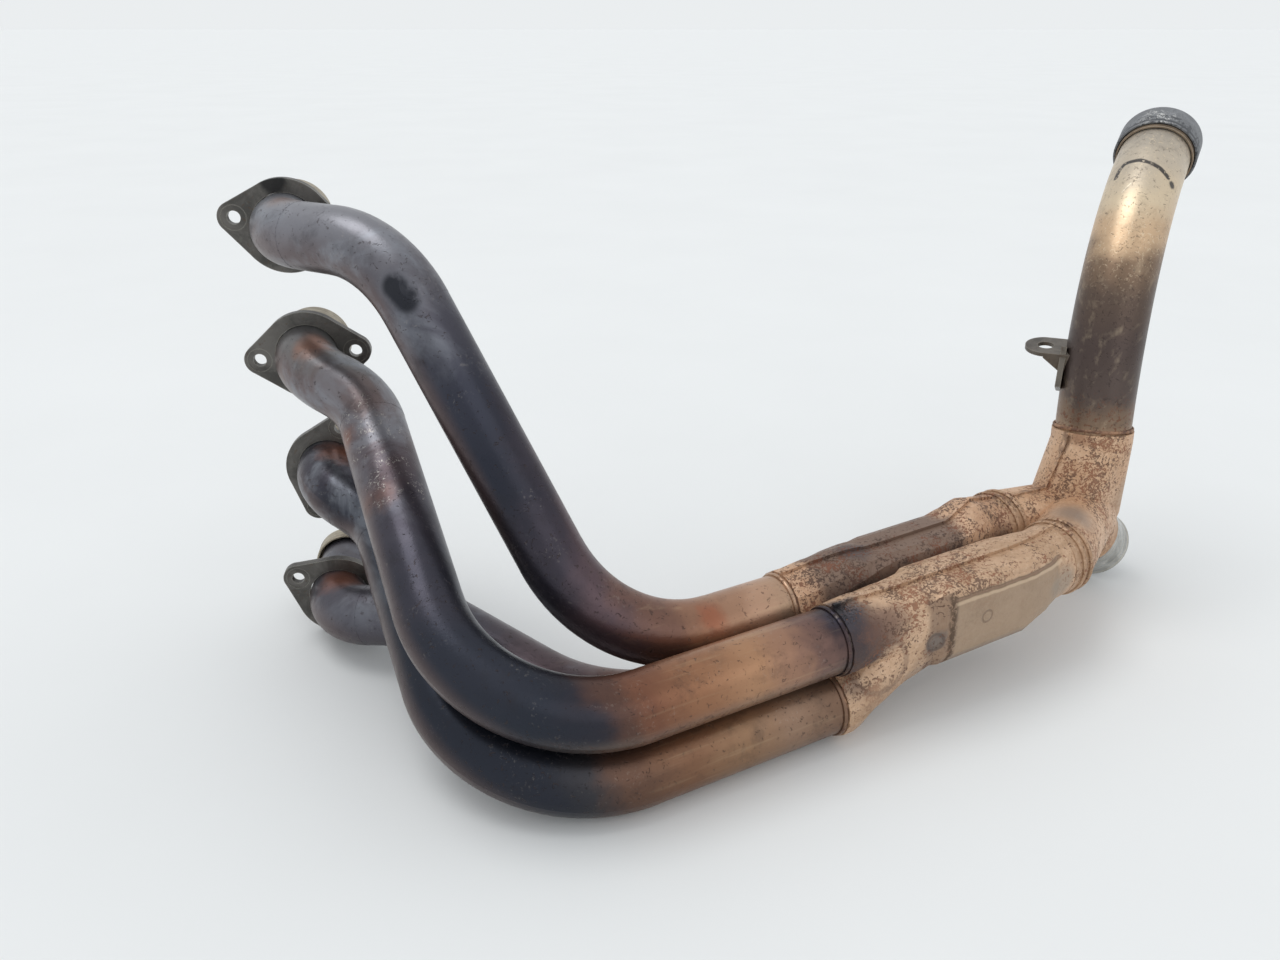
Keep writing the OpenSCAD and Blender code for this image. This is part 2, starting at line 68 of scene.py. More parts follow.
class Finish:
    """A node material, built from small helpers that give sockets. Its places are in row-frame metres."""

    def __init__(self, name, metallic=0.5):
        self.material = bpy.data.materials.new(name)
        self.material.use_nodes = True
        self.tree = self.material.node_tree
        self.shader = self.tree.nodes["Principled BSDF"]
        self.shader.inputs["Metallic"].default_value = metallic
        self.place = self.tree.nodes.new("ShaderNodeTexCoord").outputs["Object"]

    def add(self, kind, settings=None, **inputs):
        node = self.tree.nodes.new("ShaderNode" + kind)
        for key, value in (settings or {}).items():
            setattr(node, key, value)
        for key, value in inputs.items():
            self.feed(node.inputs[key.replace("_", " ")], value)
        return node

    def feed(self, socket, value):
        if isinstance(value, bpy.types.NodeSocket):
            self.tree.links.new(value, socket)
        else:
            socket.default_value = value

    def math(self, operation, a, b=0.0, clamp=False):
        node = self.add("Math", {"operation": operation, "use_clamp": clamp})
        self.feed(node.inputs[0], a)
        self.feed(node.inputs[1], b)
        return node.outputs[0]

    def vector(self, operation, a, b):
        node = self.add("VectorMath", {"operation": operation})
        self.feed(node.inputs[0], a)
        self.feed(node.inputs[1], b)
        return node.outputs["Value" if operation in ("DOT_PRODUCT", "LENGTH") else "Vector"]

    def step(self, value, low, high):
        """0 below low and 1 above high, smooth between them. low may be the larger one."""
        node = self.add("MapRange", {"interpolation_type": "SMOOTHSTEP"}, Value=value)
        self.feed(node.inputs["From Min"], min(low, high))
        self.feed(node.inputs["From Max"], max(low, high))
        self.feed(node.inputs["To Min"], 0.0 if low < high else 1.0)
        self.feed(node.inputs["To Max"], 1.0 if low < high else 0.0)
        return node.outputs["Result"]

    def noise(self, scale, detail=4.0, rough=0.55, warp=0.0, at=None):
        node = self.add("TexNoise", None, Vector=at or self.place, Scale=scale, Detail=detail)
        node.inputs["Roughness"].default_value = rough
        node.inputs["Distortion"].default_value = warp
        return node.outputs["Fac"]

    def stretched(self, course, amount):
        """Places drawn out along a direction, for streaks and brushed lines."""
        x = self.along(course)
        shift = self.add("VectorMath", {"operation": "SCALE"})
        self.feed(shift.inputs[0], tuple(course))
        self.feed(shift.inputs["Scale"], self.math("MULTIPLY", x, amount - 1.0))
        return self.vector("ADD", self.place, shift.outputs["Vector"])

    def along(self, course, start=None):
        """Distance along a direction from a start point, in metres."""
        offset = -(start or LAY_SHIFT).dot(course)
        return self.math("ADD", self.vector("DOT_PRODUCT", self.place, tuple(course)), offset)

    def near(self, point, radius, soft=0.5, wobble=0.0, scale=120.0):
        """1 inside a ball round a point and 0 outside, with an uneven edge."""
        away = self.add("VectorMath", {"operation": "DISTANCE"})
        self.feed(away.inputs[0], self.place)
        self.feed(away.inputs[1], tuple(point))
        reach = away.outputs["Value"]
        if wobble:
            shake = self.math("SUBTRACT", self.noise(scale, 3), 0.5)
            reach = self.math("ADD", reach, self.math("MULTIPLY", shake, wobble))
        return self.step(reach, radius, radius * (1 - soft))

    def ring(self, point, radius, width):
        """1 on a circle's line round a point, 0 beside it."""
        away = self.add("VectorMath", {"operation": "DISTANCE"})
        self.feed(away.inputs[0], self.place)
        self.feed(away.inputs[1], tuple(point))
        off = self.math("ABSOLUTE", self.math("SUBTRACT", away.outputs["Value"], radius))
        return self.step(off, width, width * 0.3)

    def stroke(self, points, width):
        """1 on a hand-drawn line through points, 0 beside it."""
        masks = []
        for a, b in zip(points, points[1:]):
            course = b - a
            place = self.math("DIVIDE", self.along(course, a), course.length_squared, True)
            foot = self.add("VectorMath", {"operation": "SCALE"})
            self.feed(foot.inputs[0], tuple(course))
            self.feed(foot.inputs["Scale"], place)
            from_a = self.vector("SUBTRACT", self.place, tuple(a))
            gap = self.vector("SUBTRACT", from_a, foot.outputs["Vector"])
            masks.append(self.step(self.vector("LENGTH", gap, (0, 0, 0)), width, width * 0.5))
        return self.several(masks)

    def facing(self, course):
        """How far the surface faces along a direction, from -1 to 1."""
        normal = self.add("TexCoord").outputs["Normal"]
        return self.vector("DOT_PRODUCT", normal, tuple(course.normalized()))

    def within(self, value, low, high, soft):
        """1 between low and high, fading over soft beyond each."""
        return self.math("MULTIPLY", self.step(value, low - soft, low), self.step(value, high + soft, high))

    def ramp(self, value, stops, low=0.0, high=1.0):
        """A colour ramp whose stops are given as (value, colour), between low and high."""
        node = self.add("ValToRGB")
        share = self.add("MapRange", None, Value=value, From_Min=low, From_Max=high)
        self.feed(node.inputs[0], share.outputs[0])
        bar = node.color_ramp
        bar.interpolation = "EASE"
        while len(bar.elements) < len(stops):
            bar.elements.new(0.5)
        for element, (at, code) in zip(bar.elements, stops):
            element.position = (at - low) / (high - low)
            element.color = tone(code)
        return node.outputs["Color"]

    def mix(self, share, a, b, blend="MIX"):
        node = self.add("Mix", {"data_type": "RGBA", "blend_type": blend})
        self.feed(node.inputs[0], share)
        self.feed(node.inputs[6], tone(a) if isinstance(a, str) else a)
        self.feed(node.inputs[7], tone(b) if isinstance(b, str) else b)
        return node.outputs[2]

    def finish(self, colour, rough, height=None, depth=0.0004):
        """Joins colour, roughness and relief to the shader and gives the material."""
        self.feed(self.shader.inputs["Base Color"], colour)
        self.feed(self.shader.inputs["Roughness"], rough)
        if height is not None:
            bump = self.add("Bump", None, Height=height, Distance=depth, Strength=1.0)
            self.feed(self.shader.inputs["Normal"], bump.outputs["Normal"])
        return self.material

    def islands(self, scale, share, density=None, seed=0.0):
        """Separate crooked flecks of rust: what lies above a level of a warped noise. 0 to 1."""
        moved = self.vector("ADD", self.place, (seed, seed * 1.7, seed * 0.6))
        height = self.noise(scale, 3, 0.6, 0.9, moved)
        if density is not None:
            lift = self.math("MULTIPLY", self.math("SUBTRACT", density, 0.5), 0.13)
            height = self.math("ADD", height, lift)
        level = 0.66 - share * 0.2
        return self.step(height, level, level + 0.03)

    def specks(self, scale, width, amount, warp=1.5, seed=0.0):
        """Short crooked dashes of rust: thin level lines of one noise, broken up by another. 0 to 1."""
        moved = self.vector("ADD", self.place, (seed, seed * 1.7, seed * 0.6))
        line = self.math("ABSOLUTE", self.math("SUBTRACT", self.noise(scale, 2, 0.5, warp, moved), 0.5))
        thin = self.step(line, width, width * 0.45)
        level = 0.62 - amount * 0.22
        broken = self.step(self.noise(scale * 1.9, 1, 0.5, 0.6, moved), level, level + 0.04)
        return self.math("MULTIPLY", thin, broken)

    def several(self, masks):
        """The largest of several masks."""
        total = masks[0]
        for mask in masks[1:]:
            total = self.math("MAXIMUM", total, mask)
        return total


CHAR = "3c3230"

# The side of the legs coloured a lighter brown, the dent's long axis, and the balls that hold pale flakes
# and their painted glints
LEFT = Vector((-0.9, -0.15, -0.4))
DENT_COURSE = [(29.3, 161.7, 266.1), (34.7, 156.3, 257.9)]
PIPE_2_FLAKES_AND_GLINTS = [((5, 205, 178), 0.018), ((7, 184, 168), 0.028), ((10, 150, 150), 0.026)]


def pipe_finish(name, leg, run, warm, smoke_sheen_heights, under=False, dented=False, flakes=False):
    """A primary pipe: leg colours by height, run colours along the run, smoke tint mixed with painted sheen
    up high, and warm patches.
    """
    f = Finish(name, 0.72)
    t = f.along(ALONG)
    z = f.along(UP)
    cloud = f.noise(13, 5, 0.6, 0.4)
    wander = f.math("MULTIPLY", f.math("SUBTRACT", cloud, 0.5), 0.07)
    run_tone = f.ramp(f.math("ADD", t, wander), run, run[0][0], run[-1][0])
    leg_tone = f.ramp(f.math("ADD", z, wander), leg, leg[0][0], leg[-1][0])
    split = f.step(f.math("ADD", t, wander), run[0][0] + 0.002, run[0][0] + 0.035)
    colour = f.mix(split, leg_tone, run_tone)
    edge = f.math("MULTIPLY", f.step(f.facing(LEFT), 0.3, 0.9), f.math("SUBTRACT", 1.0, split))
    colour = f.mix(f.math("MULTIPLY", edge, 0.6), colour, "665049")
    # Blue-grey haze on the upper legs and shoulders: partly smoke tint, partly painted sheen.
    clouded = f.step(f.noise(17, 5, 0.62, 0.7), 0.44, 0.66)
    smoke_and_sheen = f.math("MULTIPLY", f.step(z, smoke_sheen_heights[0], smoke_sheen_heights[1]), clouded)
    colour = f.mix(f.math("MULTIPLY", smoke_and_sheen, 0.65), colour, "90959d")
    for point, radius, code, share in warm:
        spot = f.math("MULTIPLY", f.near(run_point(*point), radius, 0.85, 0.02, 60), share)
        colour = f.mix(spot, colour, code)
    grime = f.noise(48, 6, 0.68, 0.3)
    colour = f.mix(f.math("MULTIPLY", f.step(grime, 0.5, 0.76), 0.4), colour, "2a272a")
    dust = f.math("MULTIPLY", f.step(f.noise(420, 3, 0.7), 0.56, 0.7), f.step(f.noise(40, 3), 0.5, 0.66))
    colour = f.mix(f.math("MULTIPLY", dust, 0.14), colour, "b9b2a8")
    pits = f.islands(330, 0.12, cloud, 0.3)
    colour = f.mix(f.math("MULTIPLY", pits, 0.5), colour, CHAR)
    drawn = f.noise(260, 3, 0.6, 0.0, f.stretched(ALONG, 0.05))
    straight = f.step(t, run[0][0] + 0.045, run[0][0] + 0.08)
    drawn = f.math("MULTIPLY", f.step(drawn, 0.54, 0.76), straight)
    colour = f.mix(f.math("MULTIPLY", drawn, 0.1), colour, "dcc6a0")
    if under:
        low = f.math("MULTIPLY", f.step(f.facing(-UP), 0.0, 0.6), split)
        colour = f.mix(f.math("MULTIPLY", low, 0.5), colour, "84776b")
        crust = f.math("MULTIPLY", f.islands(210, 0.45, cloud, 0.9), low)
        colour = f.mix(f.math("MULTIPLY", crust, 0.85), colour, "54392d")
    if dented:
        # Painted highlight in a ring round the dent, and painted shade, partly soot, in its hollow.
        dent_highlight = f.stroke([run_point(*place) for place in DENT_COURSE], 0.014)
        colour = f.mix(f.math("MULTIPLY", dent_highlight, 0.35), colour, "6f727a")
        dent_shade_and_soot = f.stroke([run_point(*place) for place in DENT_COURSE], 0.0098)
        dent_shade_and_soot = f.math("MULTIPLY", dent_shade_and_soot, f.step(f.noise(90, 4, 0.6), 0.2, 0.5))
        colour = f.mix(f.math("MULTIPLY", dent_shade_and_soot, 0.88), colour, "1b1e25")
    if flakes:
        # Pale flakes on the second pipe's leg: partly real scale, partly painted glints.
        chips = f.step(f.noise(520, 4, 0.72, 0.8), 0.54, 0.62)
        field = f.several([f.near(run_point(*place), r, 0.8, 0.03, 90) for place, r in PIPE_2_FLAKES_AND_GLINTS])
        clump = f.step(f.noise(110, 3, 0.6, 0.5), 0.46, 0.56)
        flakes_and_glints = f.math("MULTIPLY", f.math("MULTIPLY", chips, clump), f.step(field, 0.1, 0.6))
        colour = f.mix(f.math("MULTIPLY", flakes_and_glints, 0.8), colour, "aba7a1")
    rough = f.math("ADD", f.math("MULTIPLY", cloud, 0.2), f.math("MULTIPLY", grime, 0.28))
    rough = f.math("ADD", rough, 0.1, True)
    height = f.math("SUBTRACT", f.math("MULTIPLY", grime, 0.8), f.math("MULTIPLY", pits, 0.6))
    return f.finish(colour, rough, height, 0.0004)


# Leg colours by height in metres, for the outer and the inner pair; the lighter tops are partly painted
# sheen
LEG_OUTER = [(0.02, "2a2d36"), (0.08, "262a34"), (0.15, "2a2d38"), (0.2, "353742"), (0.24, "494851"),
             (0.27, "615f65"), (0.3, "828288"), (0.325, "93949a")]
LEG_INNER = [(0.0, "282b35"), (0.05, "282c36"), (0.09, "2f323c"), (0.13, "423f48"), (0.16, "54494d"),
             (0.185, "6a5d5c"), (0.21, "72706f"), (0.24, "77767b")]
FINISH_OF = {}
FINISH_OF["primary_pipe_1"] = pipe_finish(
    "pipe_1_steel", LEG_OUTER,
    [(0.045, "2b2d35"), (0.08, "3b3740"), (0.11, "5b4b50"), (0.135, "74564b"), (0.16, "946e58"),
     (0.185, "a47f67"), (0.205, "b8937a"), (0.23, "b3937a")],
    [((-11, 262, 320), 0.024, "8c6a58", 0.75), ((14, 178, 250), 0.018, "5f4a46", 0.5),
     ((170, 38, 60), 0.014, "a0563a", 0.5)],
    (0.2, 0.27), dented=True,
)
FINISH_OF["primary_pipe_2"] = pipe_finish(
    "pipe_2_steel", LEG_INNER,
    [(0.03, "262932"), (0.052, "2f2d35"), (0.074, "573f37"), (0.095, "754e3c"), (0.13, "93694e"),
     (0.165, "ab8263"), (0.195, "9d7862"), (0.216, "755a52"), (0.236, "3d3337")],
    [((-4, 262, 212), 0.02, "96654d", 0.7), ((0, 200, 160), 0.016, "8a5f4c", 0.7),
     ((2, 150, 140), 0.02, "7d5a4b", 0.55), ((228, -8, 72), 0.014, "3f4150", 0.75)],
    (0.12, 0.19), under=True, flakes=True,
)
FINISH_OF["primary_pipe_3"] = pipe_finish(
    "pipe_3_steel", LEG_INNER,
    [(0.03, "2a2d34"), (0.06, "37363a"), (0.085, "63493c"), (0.115, "7d5b45"), (0.155, "907056"),
     (0.2, "927662"), (0.235, "7d6250")],
    [((5, 283, 119), 0.022, "a3654a", 0.85), ((20, 200, 60), 0.03, "5f4b44", 0.6)],
    (0.05, 0.11),
)
FINISH_OF["primary_pipe_4"] = pipe_finish(
    "pipe_4_steel", [(-0.02, "46464c"), (0.03, "525058"), (0.06, "6c686b")],
    [(0.03, "43424a"), (0.09, "574a4e"), (0.14, "6e4f42"), (0.18, "8c6b54"), (0.225, "a98c72")],
    [((-11, 255, 38), 0.024, "9c624a", 0.8)],
    (0.01, 0.05),
)
for number in (1, 2, 3, 4):
    FINISH_OF[f"port_stub_{number}"] = FINISH_OF[f"primary_pipe_{number}"]


RUST_TONES = ("8c5c43", "5c4236")


def scale_finish(name, base, second, patches, share, calm=(), bands=(), details=None, dark=RUST_TONES):
    """Scaled steel: a peach ground with crooked rust flecks, soft patches, bands and calm panels."""
    f = Finish(name, 0.3)
    t = f.along(ALONG)
    z = f.along(UP)
    cloud = f.noise(21, 5, 0.62, 0.5)
    colour = f.mix(f.step(cloud, 0.36, 0.66), base, second)
    grain = f.noise(340, 4, 0.65, 0.2)
    colour = f.mix(f.math("MULTIPLY", f.step(grain, 0.44, 0.75), 0.3), colour, "ead0b4")
    density = f.step(f.noise(27, 4, 0.62, 0.4), 0.34, 0.64)
    quiet = None
    for (t0, t1, z0, z1, side), code, amount, calmness in bands:
        drift = f.math("MULTIPLY", cloud, 0.006 if side else 0.05)
        length = f.within(f.math("ADD", t, drift), t0, t1, 0.006 if side else 0.018)
        area = f.math("MULTIPLY", length, f.within(z, z0, z1, 0.004))
        if side:
            area = f.math("MULTIPLY", area, f.step(f.facing(side), 0.35, 0.75))
        colour = f.mix(f.math("MULTIPLY", area, amount), colour, code)
        part = f.math("MULTIPLY", area, calmness)
        quiet = part if quiet is None else f.math("MAXIMUM", quiet, part)
    for point, radius, code, amount in patches:
        spot = f.math("MULTIPLY", f.near(run_point(*point), radius, 0.7, 0.018, 70), amount)
        colour = f.mix(spot, colour, code)
    for point, radius, amount in calm:
        part = f.math("MULTIPLY", f.near(run_point(*point), radius, 0.4, 0.012, 60), amount)
        quiet = part if quiet is None else f.math("MAXIMUM", quiet, part)
    flecks = f.math("MAXIMUM", f.islands(500, share, density), f.islands(310, share * 0.7, density, 0.7))
    if quiet is not None:
        flecks = f.math("MULTIPLY", flecks, f.math("SUBTRACT", 1.0, quiet))
    tint = f.mix(f.step(f.noise(70, 2), 0.42, 0.58), dark[0], dark[1])
    colour = f.mix(f.math("MULTIPLY", flecks, 0.8), colour, tint)
    height = f.math("ADD", f.math("MULTIPLY", flecks, 0.5), f.math("MULTIPLY", grain, 0.3))
    if details:
        colour, height = details(f, colour, height)
    rough = f.math("ADD", f.math("MULTIPLY", cloud, 0.25), 0.36, True)
    rough = f.math("ADD", rough, f.math("MULTIPLY", flecks, 0.2), True)
    return f.finish(colour, rough, height, 0.0006)


# The pressed box of the nearer collector: its near side, and its bounds along and up the run in metres
NEAR_SIDE = -AWAY
BOX_FROM, BOX_TO = 0.316, 0.416
BOX_TOP, BOX_FOOT = 0.063, 0.017
BOSS = run_point(300.2, -24.7, 36.3)
LOBE = run_point(259.7, -18.7, 30)
PINCH = run_point(236.5, -4, 73)
EMBOSSED_RING = Vector((0.1371, -0.1036, 0.0708))


def inner_details(f, colour, height):
    """The nearer collector's pressed box: creases, step, boss, lobe, embossed ring, pinched crimp."""
    t = f.along(ALONG)
    z = f.along(UP)
    wave = f.math("MULTIPLY", f.math("SUBTRACT", f.noise(60, 2), 0.5), 0.003)
    face = f.step(f.facing(NEAR_SIDE), 0.1, 0.4)
    over = f.within(t, BOX_FROM, BOX_TO, 0.003)
    line_at = f.math("SUBTRACT", f.math("ADD", z, wave), BOX_TOP)
    # The dark thin line along the box's upper crease is painted shade.
    crease = f.step(f.math("ABSOLUTE", line_at), 0.0014, 0.0004)
    crease = f.math("MULTIPLY", crease, f.math("MULTIPLY", over, face))
    step_at = f.math("SUBTRACT", f.math("ADD", t, wave), BOX_FROM - 0.003)
    wall = f.math("MULTIPLY", f.within(z, BOX_FOOT - 0.004, BOX_TOP + 0.002, 0.004), face)
    ledge = f.math("MULTIPLY", f.step(f.math("ABSOLUTE", step_at), 0.0046, 0.0012), wall)
    rubbed = f.math("MULTIPLY", f.step(f.noise(240, 3, 0.6, 0.8), 0.42, 0.5), ledge)
    colour = f.mix(f.math("MULTIPLY", rubbed, 0.85), colour, "54402f")
    colour = f.mix(f.math("MULTIPLY", crease, 0.7), colour, "7d6350")
    below = f.math("ABSOLUTE", f.math("SUBTRACT", line_at, -0.0026))
    lip = f.math("MULTIPLY", f.step(below, 0.0018, 0.0005), face)
    colour = f.mix(f.math("MULTIPLY", f.math("MULTIPLY", lip, over), 0.5), colour, "dcc2a4")
    ring = f.ring(EMBOSSED_RING, 0.0042, 0.001)
    boss = f.near(BOSS, 0.0058, 0.6)
    boss_ring = f.ring(BOSS, 0.006, 0.0016)
    colour = f.mix(f.math("MULTIPLY", ring, 0.6), colour, "7f6855")
    colour = f.mix(f.math("MULTIPLY", boss_ring, 0.7), colour, "5a4d46")
    lobe = f.near(LOBE, 0.021, 0.5, 0.004, 90)
    lobe_edge = f.ring(LOBE, 0.019, 0.0028)
    colour = f.mix(f.math("MULTIPLY", lobe_edge, 0.4), colour, "6b5144")
    crack = f.step(f.math("ABSOLUTE", f.math("SUBTRACT", f.noise(150, 2, 0.5, 2.5), 0.5)), 0.035, 0.012)
    crack = f.math("MULTIPLY", crack, f.near(PINCH, 0.015, 0.6))
    colour = f.mix(f.math("MAXIMUM", crack, f.near(PINCH, 0.0065, 0.5, 0.003, 200)), colour, "1f1d20")
    lifted = f.math("ADD", f.math("MULTIPLY", boss, 2.0), f.math("MULTIPLY", lobe, 3.0))
    raised = f.math("MULTIPLY", f.step(step_at, -0.0035, 0.0025), f.math("MULTIPLY", wall, 4.0))
    lifted = f.math("ADD", lifted, raised)
    sunk = f.math("ADD", f.math("MULTIPLY", ring, 0.9), f.math("MULTIPLY", crack, 3.0))
    sunk = f.math("ADD", sunk, f.math("MULTIPLY", crease, 1.5))
    return colour, f.math("ADD", height, f.math("SUBTRACT", lifted, sunk))


INNER_SHELL = scale_finish(
    "inner_collector_scale", "c9a789", "b49375",
    [((238, -23, 58), 0.036, "3b3033", 1.0), ((243, -24, 40), 0.026, "463838", 0.9),
     ((262, -23, 60), 0.024, "6a4e42", 0.8), ((240, -22, 22), 0.016, "4a3b38", 0.7),
     ((236, -8, 71), 0.02, "3d3b44", 0.9), ((300, -25, 36), 0.011, "6e6661", 0.8),
     ((290, -24, 14), 0.016, "8d7a6c", 0.6), ((416, -22, 44), 0.016, "8f8579", 0.6),
     ((262, -22, -2), 0.03, "a08168", 0.5), ((330, -10, 72), 0.014, "9a7456", 0.4)],
    0.44, [((262, -22, -6), 0.03, 0.6), ((240, -24, 56), 0.02, 0.8)],
    [((0.318, 0.412, 0.018, 0.062, NEAR_SIDE), "96826d", 0.75, 0.85),
     # The dark band just before the box is painted shade on its step.
     ((0.3, 0.315, 0.01, 0.066, NEAR_SIDE), "6f5848", 0.65, 0.0),
     ((0.32, 0.41, 0.008, 0.018, NEAR_SIDE), "877a6f", 0.6, 0.7)],
    inner_details,
)


def outer_details(f, colour, height):
    """The farther collector, with painted shade low down toward the gap between the two."""
    t = f.along(ALONG)
    # Painted shade on the lower part, where the two collectors meet.
    low = f.step(f.along(UP), 0.068, 0.052)
    low = f.math("MULTIPLY", low, f.within(t, 0.262, 0.42, 0.02))
    return f.mix(f.math("MULTIPLY", low, 0.75), colour, "352b2a"), height


OUTER_SHELL = scale_finish(
    "outer_collector_scale", "cba687", "b89173",
    [((290, 50, 74), 0.018, "4f4748", 0.7)],
    0.46, [], [((0.284, 0.388, -0.04, 0.09, None), "66544b", 0.85, 0.0)],
    outer_details, ("7a4c38", "4a3730"),
)


def junction_details(f, colour, height):
    """Smooth greyish patch where the nearer neck enters, and dark stains along the seam."""
    patch = f.near(run_point(464, 13, 78), 0.027, 0.8, 0.009, 80)
    colour = f.mix(f.math("MULTIPLY", patch, 0.8), colour, "857970")
    w = f.math("ABSOLUTE", f.math("SUBTRACT", f.along(AWAY), 0.057))
    seam = f.math("MULTIPLY", f.step(w, 0.0052, 0.0022), f.step(f.noise(110, 3), 0.44, 0.6))
    return f.mix(f.math("MULTIPLY", seam, 0.6), colour, "5c4337"), height


JUNCTION = scale_finish(
    "junction_scale", "cfab8b", "bd9675",
    [((540, 38, 60), 0.022, "a58a72", 0.6), ((560, 60, 20), 0.03, "97806c", 0.6),
     ((505, 48, 108), 0.012, "8a5a40", 0.5), ((528, 57, 118), 0.014, "a4866c", 0.4)],
    0.46, [((464, 13, 78), 0.026, 0.95), ((545, 38, 50), 0.02, 0.7), ((560, 55, 15), 0.03, 0.7)],
    [], junction_details,
)
NECK = scale_finish("neck_scale", "b9977a", "a58467", [], 0.36)
for node in ("inner_collector_near", "inner_collector_far"):
    FINISH_OF[node] = INNER_SHELL
for node in ("outer_collector_near", "outer_collector_far"):
    FINISH_OF[node] = OUTER_SHELL
for node in ("junction_near", "junction_far"):
    FINISH_OF[node] = JUNCTION
for node in ("inner_neck", "outer_neck"):
    FINISH_OF[node] = NECK

# The upper outlet ends along this direction, at this point
OUTLET_COURSE = run_course(0.7947, 0.4597, 0.3968)
OUTLET_END = run_point(674.4, 151.8, 300.1)

# Marks on the upper outlet and its gasket, as points on their surface in row-frame metres
SCRIBED_ARC = [
    Vector((0.2813, 0.1475, 0.3131)), Vector((0.2842, 0.1528, 0.3185)), Vector((0.2894, 0.1544, 0.3227)),
    Vector((0.2974, 0.1478, 0.3265)), Vector((0.3086, 0.1365, 0.322)), Vector((0.3139, 0.1312, 0.316)),
]
INK_BLOB = Vector((0.3167, 0.1289, 0.3105))
SCRATCH = [Vector((0.2787, 0.127, 0.3056)), Vector((0.2855, 0.1298, 0.3118))]
TORN_AT = Vector((0.3231, 0.1857, 0.3541))


def outlet_finish():
    """The upper outlet: speckled foot, dark bronze, a sandy band and a paler end with scribed marks."""
    f = Finish("upper_outlet_steel", 0.65)
    z = f.along(UP)
    cloud = f.noise(16, 5, 0.6, 0.5)
    wander = f.math("MULTIPLY", f.math("SUBTRACT", cloud, 0.5), 0.045)
    colour = f.ramp(
        f.math("ADD", z, wander),
        [(0.105, "a88a6e"), (0.125, "7d6856"), (0.145, "564a45"), (0.175, "4e423e"), (0.205, "5a4b42"),
         (0.228, "7d6754"), (0.25, "cbad8c"), (0.272, "d8c5a8"), (0.295, "c4b7a4"), (0.32, "a39c92")],
        0.105, 0.32,
    )
    shaded = f.step(f.facing(ALONG + AWAY), 0.2, 0.8)
    shaded = f.math("MULTIPLY", shaded, f.within(z, 0.13, 0.22, 0.02))
    colour = f.mix(f.math("MULTIPLY", shaded, 0.55), colour, "3d3533")
    grime = f.noise(60, 6, 0.7, 0.4)
    colour = f.mix(f.math("MULTIPLY", f.step(grime, 0.5, 0.76), 0.35), colour, "4d4038")
    streaks = f.noise(130, 3, 0.6, 0.0, f.stretched(OUTLET_COURSE, 0.08))
    colour = f.mix(f.math("MULTIPLY", f.step(streaks, 0.52, 0.76), 0.16), colour, "dcc9aa")
    foot = f.step(z, 0.15, 0.12)
    crust = f.math("MULTIPLY", f.islands(330, 0.46, cloud), foot)
    colour = f.mix(f.math("MULTIPLY", crust, 0.8), colour, "6e4735")
    flecks = f.math("MULTIPLY", f.islands(420, 0.3, cloud, 0.4), f.step(z, 0.19, 0.26))
    colour = f.mix(f.math("MULTIPLY", flecks, 0.5), colour, "dfcdb0")
    pits = f.islands(350, 0.2, grime, 0.8)
    colour = f.mix(f.math("MULTIPLY", pits, 0.4), colour, CHAR)
    scribed = f.math("MULTIPLY", f.stroke(SCRIBED_ARC, 0.0028), f.step(f.noise(330, 2), 0.3, 0.44))
    blob = f.near(INK_BLOB, 0.0042, 0.5, 0.002, 300)
    colour = f.mix(f.math("MULTIPLY", f.math("MAXIMUM", scribed, blob), 0.9), colour, "26252b")
    colour = f.mix(f.math("MULTIPLY", f.stroke(SCRATCH, 0.0007), 0.8), colour, "e8dcc6")
    rough = f.math("ADD", f.math("MULTIPLY", cloud, 0.22), f.math("MULTIPLY", grime, 0.25))
    rough = f.math("ADD", rough, 0.14, True)
    height = f.math("SUBTRACT", f.math("MULTIPLY", grime, 0.6), f.math("MULTIPLY", pits, 0.5))
    return f.finish(colour, rough, height, 0.0004)


def cast_finish(name, base, dark, worn, stain_at=None):
    """Dark oxidised plate with a mottled face, fine scratches and paler worn edges."""
    f = Finish(name, 0.5)
    cloud = f.noise(45, 5, 0.65, 0.5)
    colour = f.mix(f.step(cloud, 0.36, 0.66), base, dark)
    scuffs = f.noise(260, 3, 0.65, 0.3)
    colour = f.mix(f.math("MULTIPLY", f.step(scuffs, 0.54, 0.72), 0.28), colour, "77776f")
    colour = f.mix(f.math("MULTIPLY", f.islands(300, 0.2, cloud, 0.5), 0.5), colour, "54453a")
    rounded = f.add("Bevel", None, Radius=0.0011).outputs["Normal"]
    edge = f.vector("DOT_PRODUCT", rounded, f.add("NewGeometry").outputs["Normal"])
    colour = f.mix(f.math("MULTIPLY", f.step(edge, 0.97, 0.82), 0.55), colour, worn)
    if stain_at:
        colour = f.mix(f.math("MULTIPLY", f.near(stain_at, 0.011, 0.5, 0.006, 120), 0.9), colour, "151516")
    rough = f.math("ADD", f.math("MULTIPLY", cloud, 0.3), 0.26, True)
    height = f.math("ADD", f.math("MULTIPLY", scuffs, 0.4), f.math("MULTIPLY", cloud, 0.5))
    return f.finish(colour, rough, height, 0.0004)


